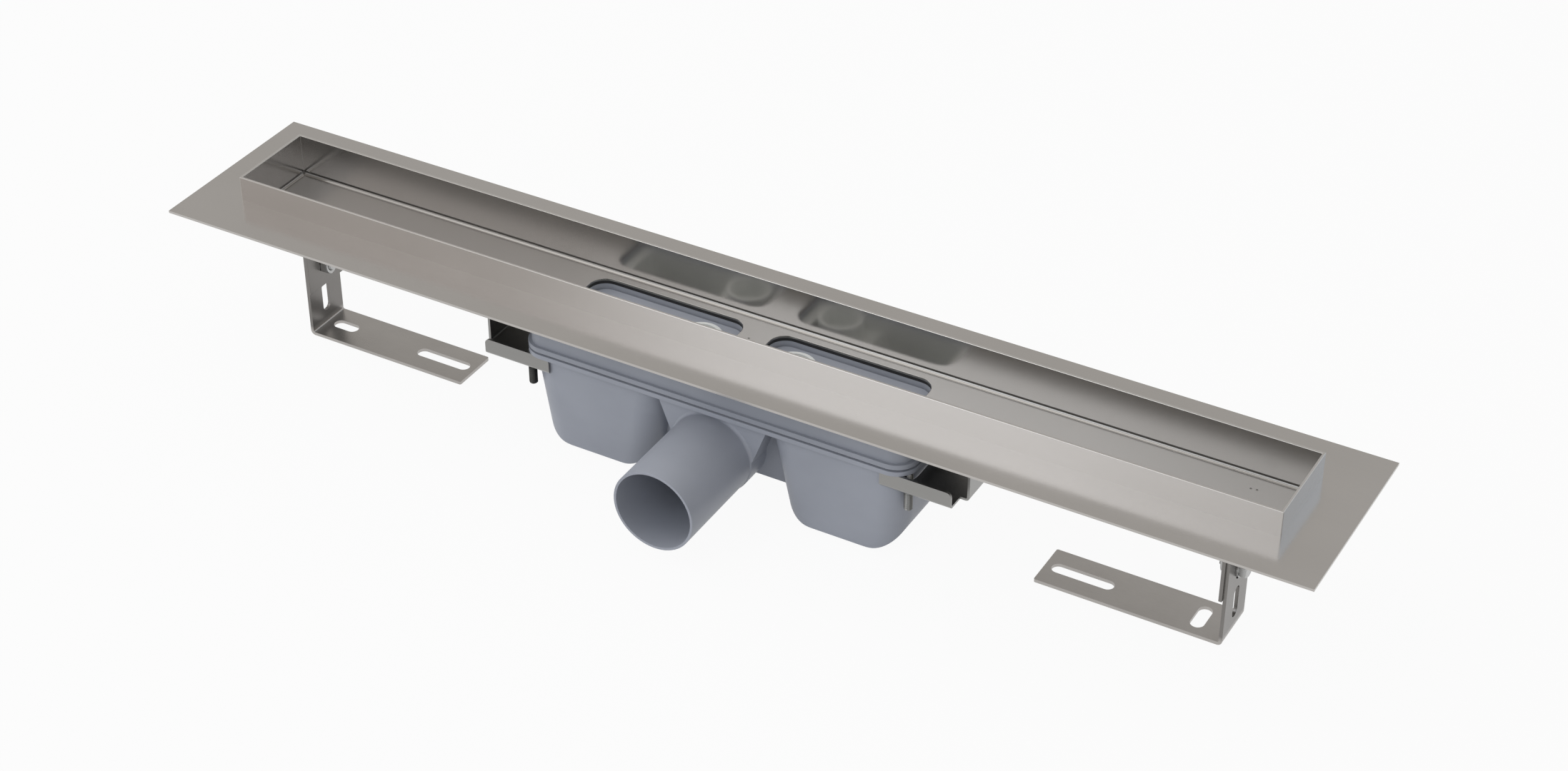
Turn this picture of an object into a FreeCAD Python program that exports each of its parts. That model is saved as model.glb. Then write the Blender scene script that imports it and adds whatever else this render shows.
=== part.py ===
import FreeCAD, Part
import math
import os

# Linear shower drain: a folded sheet channel with a welded flange, a moulded water trap
# clamped under it by two brackets, and two slotted feet. All sizes are in millimetres.
# +X runs along the channel, the outlet points along -Y and +Z is up. The origin is on the
# floor that the feet stand on, under the middle of the channel.

# Channel tray
tray_length = 656.0
tray_width = 58.0
tray_depth = 26.2
tray_sheet = 1.5
tray_bend = 1.0
tray_rise = 15.5

# Flange welded round the tray
flange_end_margin = 30.0
flange_side_margin = 31.0
flange_sheet = 1.5

# Two drain slots in the tray's floor
slot_length = 100.0
slot_width = 40.0
slot_corner = 10.0
slot_bar = 18.8

# Rubber gasket between the tray and the trap
gasket_thickness = 2.0
gasket_margin = 6.0
gasket_setback = 0.3

# Trap, shared plan of its two mouldings
trap_end_margin = 14.6
trap_side_margin = 22.5
trap_corner = 13.5

# Trap top frame, the upper moulding
frame_height = 14.1
frame_deck = 2.5
frame_wall = 2.5
frame_flange = 3.1
frame_flange_width = 2.0
well_clearance = 0.5
well_wall = 2.0
well_depth = 5.8
ledge_width = 3.5
ledge_thickness = 2.5

# Seal between the two mouldings
seam_seal_thickness = 1.4
seam_seal_width = 3.0
seam_seal_inset = 1.5

# Trap body, the lower moulding
body_flange = 2.8
body_wall = 2.5
cup_depth = 58.7
cup_end_ledge = 3.7
cup_side_ledge = 3.7
cup_gap = 65.2
cup_neck_height = 16.0
cup_inner_draft = 11.0
cup_outer_draft = 5.5
cup_side_draft = 2.5
cup_corner = 16.0
cup_bottom_round = 22.5
floor_clearance = 2.8
bridge_half_width = 22.0
bridge_depth = 45.5
weir_drop = 3.5
nose_reach = 38.0
nose_top_half = 35.5
nose_side_half = 25.6
nose_shoulder_drop = 26.0
root_radius = 26.7
root_length = 3.2
outlet_drop = 27.5
outlet_radius = 25.0
outlet_wall = 1.5
outlet_length = 63.0

# Removable dip insert, one under each drain slot
insert_clearance = 0.5
insert_flange = 2.5
insert_wall = 1.8
insert_shelf_drop = 10.2
insert_tube_inset = 38.6
insert_tube_lift = 11.2
insert_tube_end_draft = 7.5
insert_tube_side_draft = 2.0
insert_seal_width = 1.5
grip_radius = 13.0
grip_wall = 2.0
grip_height = 12.0
grip_offset = 20.6

# Trap brackets, one folded sheet at each end of the trap
bracket_sheet = 1.5
bracket_bend = 1.0
bracket_reach = 30.7
bracket_plate_half = 29.0
bracket_top_length = 24.0
lip_height = 10.5
lip_setback = 2.0
lip_overlap = 18.0
lip_end_gap = 5.5
lip_corner = 3.0
cup_relief = 0.8
collar_radius = 3.3
collar_height = 2.0
collar_clearance = 0.1

# M5 screws that press the trap upwards
press_thread_radius = 2.5
press_socket_across_flats = 2.5
press_screw_length = 24.0
press_screw_end_inset = 3.0

# M6 fasteners
thread_radius = 3.0
thread_clearance = 0.05
hole_clearance = 0.3
hex_across_flats = 10.0
nut_height = 5.0
head_height = 4.0
washer_radius = 6.0
washer_thickness = 1.6
washer_clearance = 0.2
screw_chamfer = 0.6
socket_depth = 3.5
stud_length = 14.0
stud_spacing = 30.0
stud_offset = 13.3
leg_bolt_length = 12.0

# Feet and the tabs that carry them
tab_sheet = 2.0
tab_half_width = 16.5
tab_drop = 51.8
tab_top_length = 20.0
tab_bend = 1.0
tab_bolt_drop = 37.8
foot_inset = 29.6
foot_sheet = 2.0
foot_half_width = 15.0
foot_length = 110.0
foot_bend = 1.0
foot_corner = 1.0
foot_slot_width = 8.0
long_slot_length = 37.0
long_slot_end_margin = 4.0
short_slot_length = 17.0
short_slot_from_bend = 15.5
cross_slot_length = 19.0
cross_slot_from_bend = 18.0
leg_slot_width = 7.0
leg_slot_length = 20.0
leg_slot_gap = 6.0
leg_slot_over_bolt = 2.0
leg_top_margin = 6.0

# Cutting tools pass this far beyond the faces that they cut
cut_pass = 1.0

# Heights, stacked up from the floor
z_cup_bottom = floor_clearance
z_trap_rim = z_cup_bottom + cup_depth
z_body_top = z_trap_rim + body_flange
z_frame_under = z_body_top + seam_seal_thickness
z_frame_top = z_frame_under + frame_height
z_floor_under = z_frame_top + gasket_thickness
z_floor_top = z_floor_under + tray_sheet
z_rim = z_floor_top + tray_depth
z_flange_top = z_rim - tray_rise
z_outlet = z_trap_rim - outlet_drop
z_web_under = z_trap_rim - lip_height
z_leg_bolt = z_floor_under - tab_bolt_drop

# Plan sizes that several pieces share
tray_half_length = tray_length / 2
tray_half_width = tray_width / 2
slot_inner_end = slot_bar / 2
slot_outer_end = slot_inner_end + slot_length
slot_half_width = slot_width / 2
rim_half_length = slot_outer_end + trap_end_margin
rim_half_width = slot_half_width + trap_side_margin
skirt_half_length = rim_half_length - frame_flange_width
skirt_half_width = rim_half_width - frame_flange_width
skirt_corner = trap_corner - frame_flange_width
cup_outer_end = rim_half_length - cup_end_ledge
cup_inner_end = cup_gap / 2
cup_half_width = rim_half_width - cup_side_ledge
plate_outer = rim_half_length + bracket_reach
lip_outer = rim_half_width - lip_setback
lip_inner_end = rim_half_length - lip_overlap
lip_outer_end = plate_outer - lip_end_gap
press_screw_x = rim_half_length - press_screw_end_inset
press_screw_y = lip_outer - bracket_sheet - bracket_bend - collar_radius - collar_clearance
leg_outer = tray_half_length - foot_inset
tab_outer = leg_outer - foot_sheet


def vec(x, y, z):
    return FreeCAD.Vector(x, y, z)


def block(x_span, y_span, z_span):
    """Box between a low and a high value on each axis."""
    low = vec(x_span[0], y_span[0], z_span[0])
    return Part.makeBox(x_span[1] - x_span[0], y_span[1] - y_span[0], z_span[1] - z_span[0], low)


def rounded_outline(x_span, y_span, z, radius):
    """Level rectangle with rounded corners, as one closed wire."""
    diagonal = radius * (1 - math.sqrt(0.5))
    x0, x1 = x_span
    y0, y1 = y_span
    corners = [
        (vec(x1 - radius, y0, z), vec(x1 - diagonal, y0 + diagonal, z), vec(x1, y0 + radius, z)),
        (vec(x1, y1 - radius, z), vec(x1 - diagonal, y1 - diagonal, z), vec(x1 - radius, y1, z)),
        (vec(x0 + radius, y1, z), vec(x0 + diagonal, y1 - diagonal, z), vec(x0, y1 - radius, z)),
        (vec(x0, y0 + radius, z), vec(x0 + diagonal, y0 + diagonal, z), vec(x0 + radius, y0, z)),
    ]
    edges = []
    for index, (start, middle, end) in enumerate(corners):
        edges.append(Part.Arc(start, middle, end).toShape())
        following = corners[(index + 1) % len(corners)][0]
        edges.append(Part.LineSegment(end, following).toShape())
    return Part.Wire(edges)


def rounded_plate(x_span, y_span, z_span, radius):
    """Upright block with rounded corners in plan."""
    face = Part.Face(rounded_outline(x_span, y_span, z_span[0], radius))
    return face.extrude(vec(0, 0, z_span[1] - z_span[0]))


def rounded_taper(levels, radius):
    """Block with rounded corners in plan that changes size from each level's outline to the next."""
    wires = [rounded_outline(x_span, y_span, z, radius) for x_span, y_span, z in levels]
    return Part.makeLoft(wires, True, True)


def inset(span, amount):
    return (span[0] + amount, span[1] - amount)


def centred(half):
    return (-half, half)


def long_hole(centre, length, width, along, through, depth):
    """Round-ended cutter: its straight run is along one unit vector, its depth along another."""
    radius = width / 2
    across = through.cross(along)
    run = along * (length / 2 - radius)
    side = across * radius
    start = centre - through * (depth / 2)
    first = Part.LineSegment(start - run - side, start + run - side).toShape()
    far = Part.Arc(start + run - side, start + run + along * radius, start + run + side).toShape()
    second = Part.LineSegment(start + run + side, start - run + side).toShape()
    near = Part.Arc(start - run + side, start - run - along * radius, start - run - side).toShape()
    return Part.Face(Part.Wire([first, far, second, near])).extrude(through * depth)


def line_edges(shape, tests):
    """Straight edges that lie at the given value on each named axis."""
    tolerance = 0.001
    found = []
    for edge in shape.Edges:
        if edge.Curve.TypeId != "Part::GeomLine":
            continue
        ends = [vertex.Point for vertex in edge.Vertexes]
        gaps = [abs(getattr(point, axis) - value) for point in ends for axis, value in tests.items()]
        if max(gaps) < tolerance:
            found.append(edge)
    return found


def mirrored(shape, side):
    """The right-hand piece as it is, or its mirror image for the left."""
    if side > 0:
        return shape
    return shape.mirror(vec(0, 0, 0), vec(1, 0, 0))


def hexagon(across_flats, height, base, direction, corner_axis):
    """Hexagonal prism with one corner on corner_axis."""
    radius = across_flats / math.sqrt(3)
    other = direction.cross(corner_axis)
    points = []
    for step in range(6):
        angle = math.radians(60 * step)
        offset = corner_axis * (radius * math.cos(angle)) + other * (radius * math.sin(angle))
        points.append(base + offset)
    points.append(points[0])
    return Part.Face(Part.makePolygon(points)).extrude(direction * height)


def rod(radius, length, base, direction):
    return Part.makeCylinder(radius, length, base, direction)


def chamfered_rod(radius, length, base, direction):
    """Threaded rod's outer form, with a lead at its far end."""
    straight = rod(radius, length - screw_chamfer, base, direction)
    tip_base = base + direction * (length - screw_chamfer)
    tip = Part.makeCone(radius, radius - screw_chamfer, screw_chamfer, tip_base, direction)
    return straight.fuse(tip).removeSplitter()


def hex_nut(base, direction, corner_axis):
    outer = hexagon(hex_across_flats, nut_height, base, direction, corner_axis)
    hole = rod(thread_radius + thread_clearance, nut_height, base, direction)
    return outer.cut(hole)


def washer(base, direction):
    outer = rod(washer_radius, washer_thickness, base, direction)
    return outer.cut(rod(thread_radius + washer_clearance, washer_thickness, base, direction))


def slot_span(side):
    """A drain slot's extent along X."""
    ends = sorted((side * slot_inner_end, side * slot_outer_end))
    return (ends[0], ends[1])


# Sheet-metal channel

def channel_tray():
    """Channel folded from one sheet, with welded corners and two drain slots in its floor."""
    outer = block(centred(tray_half_length), centred(tray_half_width), (z_floor_under, z_rim))
    outer = outer.makeFillet(tray_bend + tray_sheet, line_edges(outer, {"z": z_floor_under}))
    inner = block(
        centred(tray_half_length - tray_sheet),
        centred(tray_half_width - tray_sheet),
        (z_floor_top, z_rim + cut_pass),
    )
    inner = inner.makeFillet(tray_bend, line_edges(inner, {"z": z_floor_top}))
    tray = outer.cut(inner)
    for side in (-1, 1):
        tray = tray.cut(rounded_plate(
            slot_span(side),
            centred(slot_half_width),
            (z_floor_under - cut_pass, z_floor_top + cut_pass),
            slot_corner,
        ))
    return tray


def flange_frame():
    """Flat flange, cut out round the tray and welded to its walls."""
    plate = block(
        centred(tray_half_length + flange_end_margin),
        centred(tray_half_width + flange_side_margin),
        (z_flange_top - flange_sheet, z_flange_top),
    )
    window = block(
        centred(tray_half_length),
        centred(tray_half_width),
        (z_flange_top - flange_sheet - cut_pass, z_flange_top + cut_pass),
    )
    return plate.cut(window)


# Water trap

def tray_gasket():
    """Flat rubber gasket with one opening for each drain slot."""
    reach = slot_outer_end + gasket_margin
    sheet = rounded_plate(
        centred(reach),
        centred(slot_half_width + gasket_margin),
        (z_frame_top, z_floor_under),
        slot_corner + gasket_margin,
    )
    for side in (-1, 1):
        sheet = sheet.cut(rounded_plate(
            inset(slot_span(side), -gasket_setback),
            centred(slot_half_width + gasket_setback),
            (z_frame_top - cut_pass, z_floor_under + cut_pass),
            slot_corner + gasket_setback,
        ))
    return sheet


def well(side, offset, z_span):
    """Plan of a drain slot, made larger by an offset or smaller by a negative one."""
    return rounded_plate(
        inset(slot_span(side), -offset),
        centred(slot_half_width + offset),
        z_span,
        slot_corner + offset,
    )


def trap_top_frame():
    """Upper moulding: a deck under the gasket, a skirt, a rim flange and two wells for the inserts."""
    skirt = rounded_plate(
        centred(skirt_half_length),
        centred(skirt_half_width),
        (z_frame_under, z_frame_top),
        skirt_corner,
    )
    flange = rounded_plate(
        centred(rim_half_length),
        centred(rim_half_width),
        (z_frame_under, z_frame_under + frame_flange),
        trap_corner,
    )
    inside = rounded_plate(
        centred(skirt_half_length - frame_wall),
        centred(skirt_half_width - frame_wall),
        (z_frame_under - cut_pass, z_frame_top - frame_deck),
        skirt_corner - frame_wall,
    )
    frame = skirt.fuse(flange).cut(inside)
    z_ledge_top = z_frame_top - well_depth
    z_ledge_under = z_ledge_top - ledge_thickness
    for side in (-1, 1):
        frame = frame.fuse(well(side, well_clearance + well_wall, (z_ledge_under, z_frame_top)))
    for side in (-1, 1):
        frame = frame.cut(well(side, well_clearance, (z_ledge_top, z_frame_top + cut_pass)))
        frame = frame.cut(well(side, -ledge_width, (z_ledge_under - cut_pass, z_ledge_top + cut_pass)))
    return frame.removeSplitter()


def seam_seal():
    """Rubber strip in the groove between the two mouldings."""
    z_span = (z_body_top, z_frame_under)
    outer_half_length = rim_half_length - seam_seal_inset
    outer_half_width = rim_half_width - seam_seal_inset
    outer = rounded_plate(
        centred(outer_half_length), centred(outer_half_width), z_span, trap_corner - seam_seal_inset
    )
    inner = rounded_plate(
        centred(outer_half_length - seam_seal_width),
        centred(outer_half_width - seam_seal_width),
        z_span,
        trap_corner - seam_seal_inset - seam_seal_width,
    )
    return outer.cut(inner)


def bottom_corner_cutter(corner, side_top, radius, half_width):
    """Tool that rounds a cup's bottom corner, seen along Y, between its floor and a sloping end."""
    slope = side_top - corner
    up = slope * (1 / slope.Length)
    along = vec(-math.copysign(1, slope.x), 0, 0)
    opening = math.acos(up.dot(along))
    reach = radius / math.tan(opening / 2)
    on_floor = corner + along * reach
    on_end = corner + up * reach
    centre = on_floor + vec(0, 0, radius)
    towards = corner - centre
    middle = centre + towards * (radius / towards.Length)
    outward = (on_end - centre) * (1 / radius)
    below = on_floor - vec(0, 0, cut_pass)
    beside = on_end + outward * cut_pass
    outside = corner - along * (cut_pass * 3) - vec(0, 0, cut_pass)
    edges = [
        Part.Arc(on_floor, middle, on_end).toShape(),
        Part.LineSegment(on_end, beside).toShape(),
        Part.LineSegment(beside, outside).toShape(),
        Part.LineSegment(outside, below).toShape(),
        Part.LineSegment(below, on_floor).toShape(),
    ]
    face = Part.Face(Part.Wire(edges))
    face.translate(vec(0, -half_width - cut_pass, 0))
    return face.extrude(vec(0, 2 * (half_width + cut_pass), 0))


def cup_form(wall, z_top):
    """Right-hand cup, or its inside when a wall is given. Its outer end is upright above the neck."""
    z_neck = z_trap_rim - cup_neck_height
    neck_share = (z_neck - z_cup_bottom) / cup_depth

    def level_at(z):
        share = (z - z_cup_bottom) / cup_depth
        inner = cup_inner_end + cup_inner_draft * (1 - share) + wall
        outer = cup_outer_end - cup_outer_draft * max(0, 1 - share / neck_share) - wall
        half = cup_half_width - cup_side_draft * (1 - share) - wall
        return (inner, outer), centred(half), z

    low, neck, high = (level_at(z) for z in (z_cup_bottom + wall, z_neck, z_top))
    form = rounded_taper((low, neck, high), cup_corner - wall)
    radius = cup_bottom_round - wall
    for end in (0, 1):
        corner = vec(low[0][end], 0, low[2])
        side_top = vec(neck[0][end], 0, z_neck)
        form = form.cut(bottom_corner_cutter(corner, side_top, radius, cup_half_width))
    return form


def nose_form(wall, back, z_top):
    """Outlet chamber's front, an upright taper that runs into a half round about the pipe."""
    side = nose_side_half - wall
    z_shoulder = z_trap_rim - nose_shoulder_drop
    slope = (nose_top_half - nose_side_half) / nose_shoulder_drop
    top = side + slope * (z_top - z_shoulder)
    front = -nose_reach + wall
    corners = [
        vec(-side, front, z_outlet),
        vec(-side, front, z_shoulder),
        vec(-top, front, z_top),
        vec(top, front, z_top),
        vec(side, front, z_shoulder),
        vec(side, front, z_outlet),
    ]
    edges = [Part.LineSegment(a, b).toShape() for a, b in zip(corners, corners[1:])]
    edges.append(Part.Arc(corners[-1], vec(0, front, z_outlet - side), corners[0]).toShape())
    return Part.Face(Part.Wire(edges)).extrude(vec(0, back - front, 0))


def pipe_root():
    """Hollow fillet round the outlet pipe, where it leaves the nose, no wider than the nose is."""
    front = -nose_reach
    inside = outlet_radius - outlet_wall / 2
    at_nose = vec(root_radius, front, 0)
    at_pipe = vec(outlet_radius, front - root_length, 0)
    spread = root_radius - outlet_radius
    hollow = math.cos(math.radians(45))
    middle = vec(root_radius - spread * hollow, front - root_length * (1 - hollow), 0)
    outline = [
        Part.Arc(at_nose, middle, at_pipe).toShape(),
        Part.LineSegment(at_pipe, vec(inside, at_pipe.y, 0)).toShape(),
        Part.LineSegment(vec(inside, at_pipe.y, 0), vec(inside, front, 0)).toShape(),
        Part.LineSegment(vec(inside, front, 0), at_nose).toShape(),
    ]
    root = Part.Face(Part.Wire(outline)).revolve(vec(0, 0, 0), vec(0, 1, 0), 360)
    root.translate(vec(0, 0, z_outlet))
    return root.common(nose_form(0, front - root_length, z_trap_rim))


def trap_body():
    """Lower moulding: two cups, a bridge between them, the outlet chamber and the outlet pipe."""
    flange = rounded_plate(
        centred(rim_half_length), centred(rim_half_width), (z_trap_rim, z_body_top), trap_corner
    )
    z_bridge = z_trap_rim - bridge_depth
    bridge_end = cup_inner_end + cup_inner_draft + body_wall
    bridge = block(centred(bridge_end), centred(bridge_half_width), (z_bridge, z_trap_rim))
    nose = nose_form(0, -bridge_half_width + body_wall, z_trap_rim)
    towards_outlet = vec(0, -1, 0)
    pipe = rod(outlet_radius, outlet_length, vec(0, -nose_reach, z_outlet), towards_outlet)
    body = flange.multiFuse([bridge, nose, pipe_root(), pipe])

    z_open = z_body_top + cut_pass
    bridge_inside = block(
        centred(bridge_end), centred(bridge_half_width - body_wall), (z_bridge + body_wall, z_open)
    )
    nose_inside = nose_form(body_wall, -bridge_half_width, z_open)
    bore = rod(
        outlet_radius - outlet_wall,
        outlet_length + body_wall + cut_pass,
        vec(0, -nose_reach + body_wall, z_outlet),
        towards_outlet,
    )
    past_wall = -bridge_half_width + body_wall + cut_pass
    above_floor = block(centred(bridge_end), (-nose_reach, past_wall), (z_bridge + body_wall, z_open))
    passage = nose_form(body_wall, past_wall, z_open).common(above_floor)
    for space in (bridge_inside, nose_inside, bore, passage):
        body = body.cut(space)

    cup = cup_form(0, z_trap_rim)
    for side in (-1, 1):
        body = body.fuse(mirrored(cup, side))
    cup_inside = cup_form(body_wall, z_open)
    for side in (-1, 1):
        body = body.cut(mirrored(cup_inside, side))
    weir_end = cup_inner_end + cup_inner_draft
    weir = block(
        centred(weir_end),
        centred(bridge_half_width - body_wall),
        (z_trap_rim - weir_drop, z_open),
    )
    return body.cut(weir).removeSplitter()


def insert_levels():
    """Heights of an insert's seat, top and shelf."""
    z_seat = z_frame_top - well_depth
    z_top = z_seat + insert_flange
    z_shelf = z_top - insert_shelf_drop
    return z_seat, z_top, z_shelf


def bowl_offset():
    return -(ledge_width + insert_seal_width)


def trap_insert(side):
    """Removable insert: a flange in its well, a shallow bowl and a dip tube that ends in the cup."""
    z_seat, z_top, z_shelf = insert_levels()
    flange = well(1, -insert_clearance, (z_seat, z_top))
    bowl = well(1, bowl_offset(), (z_shelf, z_seat))
    bowl_span = inset(slot_span(1), -bowl_offset())
    bowl_half = slot_half_width + bowl_offset()
    bowl_corner = slot_corner + bowl_offset()
    tube_span = (slot_inner_end + insert_tube_inset, bowl_span[1])
    z_tube = z_cup_bottom + insert_tube_lift
    tube_foot_half = bowl_half - insert_tube_side_draft
    tube_foot = (inset(tube_span, insert_tube_end_draft), centred(tube_foot_half), z_tube)
    tube_head = (tube_span, centred(bowl_half), z_shelf)
    tube = rounded_taper((tube_foot, tube_head), bowl_corner)
    body = flange.multiFuse([bowl, tube]).removeSplitter()

    inner_corner = bowl_corner - insert_wall
    bowl_inside = rounded_plate(
        inset(bowl_span, insert_wall),
        centred(bowl_half - insert_wall),
        (z_shelf + insert_wall, z_top + cut_pass),
        inner_corner,
    )
    foot_inside = (
        inset(tube_foot[0], insert_wall),
        inset(tube_foot[1], insert_wall),
        z_tube - cut_pass,
    )
    head_inside = (
        inset(tube_head[0], insert_wall),
        inset(tube_head[1], insert_wall),
        z_shelf + insert_wall + cut_pass,
    )
    tube_inside = rounded_taper((foot_inside, head_inside), inner_corner)
    body = body.cut(bowl_inside).cut(tube_inside)

    z_grip = z_shelf + insert_wall
    grip_centre = vec(slot_inner_end + grip_offset, 0, z_grip)
    grip = rod(grip_radius, grip_height, grip_centre, vec(0, 0, 1))
    grip = grip.cut(rod(grip_radius - grip_wall, grip_height, grip_centre, vec(0, 0, 1)))
    return mirrored(body.fuse(grip).removeSplitter(), side)


def insert_seal(side):
    """Rubber ring between an insert's bowl and the ledge of its well."""
    z_seat = insert_levels()[0]
    z_span = (z_seat - ledge_thickness, z_seat)
    return mirrored(well(1, -ledge_width, z_span).cut(well(1, bowl_offset(), z_span)), side)


# Trap brackets and their fasteners

def stud_points():
    """Places of the two studs of the right-hand bracket."""
    x = plate_outer + stud_offset
    return [vec(x, sign * stud_spacing / 2, z_floor_under) for sign in (-1, 1)]


def press_screw_points(z):
    return [vec(press_screw_x, sign * press_screw_y, z) for sign in (-1, 1)]


def trap_bracket(side):
    """Folded bracket: a top flange, an end plate, and a web with two lips and two tapped collars."""
    outer_bend = bracket_bend + bracket_sheet
    z_web_top = z_web_under + bracket_sheet
    z_flange_under = z_floor_under - bracket_sheet
    plate_inner = plate_outer - bracket_sheet
    strip_half = bracket_plate_half

    top = block(
        (plate_inner, plate_outer + bracket_top_length),
        centred(strip_half),
        (z_flange_under, z_floor_under),
    )
    plate = block((plate_inner, plate_outer), centred(strip_half), (z_web_under, z_floor_under))
    foot = block((lip_outer_end, plate_outer), centred(strip_half), (z_web_under, z_web_top))
    strip = top.multiFuse([plate, foot]).removeSplitter()
    strip = strip.makeFillet(outer_bend, line_edges(strip, {"x": plate_outer, "z": z_web_under}))
    strip = strip.makeFillet(bracket_bend, line_edges(strip, {"x": plate_inner, "z": z_web_top}))
    strip = strip.makeFillet(outer_bend, line_edges(strip, {"x": plate_inner, "z": z_floor_under}))
    strip = strip.makeFillet(bracket_bend, line_edges(strip, {"x": plate_outer, "z": z_flange_under}))

    lip_span = (lip_inner_end, lip_outer_end)
    lip_inner = lip_outer - bracket_sheet
    channel = block(lip_span, centred(lip_outer), (z_web_under, z_trap_rim))
    channel = channel.cut(block(
        inset(lip_span, -cut_pass), centred(lip_inner), (z_web_top, z_trap_rim + cut_pass)
    ))
    for sign in (-1, 1):
        outer_edges = line_edges(channel, {"y": sign * lip_outer, "z": z_web_under})
        channel = channel.makeFillet(outer_bend, outer_edges)
        inner_edges = line_edges(channel, {"y": sign * lip_inner, "z": z_web_top})
        channel = channel.makeFillet(bracket_bend, inner_edges)
    for x in lip_span:
        channel = channel.makeFillet(lip_corner, line_edges(channel, {"x": x, "z": z_trap_rim}))
    bracket = strip.fuse(channel).removeSplitter()

    relief = rounded_plate(
        (cup_inner_end, cup_outer_end + cup_relief),
        centred(cup_half_width + cup_relief),
        (z_web_under - cut_pass, z_web_top + bracket_bend),
        cup_corner + cup_relief,
    )
    lips = block(
        inset(lip_span, -cut_pass),
        (lip_inner, lip_outer + cut_pass),
        (z_web_under - cut_pass, z_trap_rim),
    )
    relief = relief.cut(lips).cut(lips.mirror(vec(0, 0, 0), vec(0, 1, 0)))
    bracket = bracket.cut(relief)
    up = vec(0, 0, 1)
    for point in press_screw_points(z_web_under):
        bracket = bracket.fuse(rod(collar_radius, bracket_sheet + collar_height, point, up))
    through = bracket_sheet + collar_height + 2 * cut_pass
    for point in press_screw_points(z_web_under - cut_pass):
        bracket = bracket.cut(rod(press_thread_radius + thread_clearance, through, point, up))
    through = bracket_sheet + 2 * cut_pass
    for point in stud_points():
        start = point - up * (bracket_sheet + cut_pass)
        bracket = bracket.cut(rod(thread_radius + hole_clearance, through, start, up))
    return mirrored(bracket.removeSplitter(), side)


def bracket_studs(side):
    """Two studs welded to the tray's underside, which carry a bracket."""
    down = vec(0, 0, -1)
    studs = [chamfered_rod(thread_radius, stud_length, point, down) for point in stud_points()]
    return mirrored(Part.makeCompound(studs), side)


def bracket_washers(side):
    lift = vec(0, 0, -bracket_sheet)
    rings = [washer(point + lift, vec(0, 0, -1)) for point in stud_points()]
    return mirrored(Part.makeCompound(rings), side)


def bracket_nuts(side):
    lift = vec(0, 0, -bracket_sheet - washer_thickness)
    nuts = [hex_nut(point + lift, vec(0, 0, -1), vec(1, 0, 0)) for point in stud_points()]
    return mirrored(Part.makeCompound(nuts), side)


def press_screws(side):
    """Socket set screws that press the trap's rim up against the gasket."""
    down = vec(0, 0, -1)
    screws = []
    for point in press_screw_points(z_trap_rim):
        screw = chamfered_rod(press_thread_radius, press_screw_length, point, down)
        end = point + down * press_screw_length
        socket = hexagon(press_socket_across_flats, socket_depth, end, vec(0, 0, 1), vec(1, 0, 0))
        screws.append(screw.cut(socket))
    return mirrored(Part.makeCompound(screws), side)


# Feet

def leg_tab(side):
    """Tab under the tray that a foot is bolted to."""
    inner = tab_outer - tab_sheet
    z_low = z_floor_under - tab_drop
    plate = block((inner, tab_outer), centred(tab_half_width), (z_low, z_floor_under))
    top = block(
        (tab_outer - tab_top_length, tab_outer),
        centred(tab_half_width),
        (z_floor_under - tab_sheet, z_floor_under),
    )
    tab = plate.fuse(top).removeSplitter()
    tab = tab.makeFillet(tab_bend + tab_sheet, line_edges(tab, {"x": tab_outer, "z": z_floor_under}))
    tab = tab.makeFillet(tab_bend, line_edges(tab, {"x": inner, "z": z_floor_under - tab_sheet}))
    start = vec(inner - cut_pass, 0, z_leg_bolt)
    hole = rod(thread_radius + hole_clearance, tab_sheet + 2 * cut_pass, start, vec(1, 0, 0))
    return mirrored(tab.cut(hole), side)


def foot(side):
    """Slotted L foot. The short slot by the bend runs along X on the left and along Y on the right."""
    leg_inner = leg_outer - foot_sheet
    z_upper_slot = z_leg_bolt + leg_slot_over_bolt
    z_lower_slot = z_upper_slot - leg_slot_length - leg_slot_gap
    z_top = z_upper_slot + leg_slot_length / 2 + leg_top_margin
    plate = block((leg_outer - foot_length, leg_outer), centred(foot_half_width), (0, foot_sheet))
    leg = block((leg_inner, leg_outer), centred(foot_half_width), (0, z_top))
    shape = plate.fuse(leg).removeSplitter()
    shape = shape.makeFillet(foot_bend + foot_sheet, line_edges(shape, {"x": leg_outer, "z": 0}))
    shape = shape.makeFillet(foot_bend, line_edges(shape, {"x": leg_inner, "z": foot_sheet}))
    free_corners = []
    for sign in (-1, 1):
        free_corners += line_edges(shape, {"x": leg_outer - foot_length, "y": sign * foot_half_width})
        free_corners += line_edges(shape, {"y": sign * foot_half_width, "z": z_top})
    shape = shape.makeFillet(foot_corner, free_corners)

    along = vec(1, 0, 0)
    across = vec(0, 1, 0)
    up = vec(0, 0, 1)
    depth = foot_sheet + 2 * cut_pass
    x_long = leg_outer - foot_length + long_slot_end_margin + long_slot_length / 2
    centre = vec(x_long, 0, foot_sheet / 2)
    holes = [long_hole(centre, long_slot_length, foot_slot_width, along, up, depth)]
    if side > 0:
        centre = vec(leg_outer - cross_slot_from_bend, 0, foot_sheet / 2)
        holes.append(long_hole(centre, cross_slot_length, foot_slot_width, across, up, depth))
    else:
        centre = vec(leg_outer - short_slot_from_bend, 0, foot_sheet / 2)
        holes.append(long_hole(centre, short_slot_length, foot_slot_width, along, up, depth))
    for z in (z_lower_slot, z_upper_slot):
        centre = vec(leg_outer - foot_sheet / 2, 0, z)
        holes.append(long_hole(centre, leg_slot_length, leg_slot_width, up, along, depth))
    for hole in holes:
        shape = shape.cut(hole)
    return mirrored(shape, side)


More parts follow.
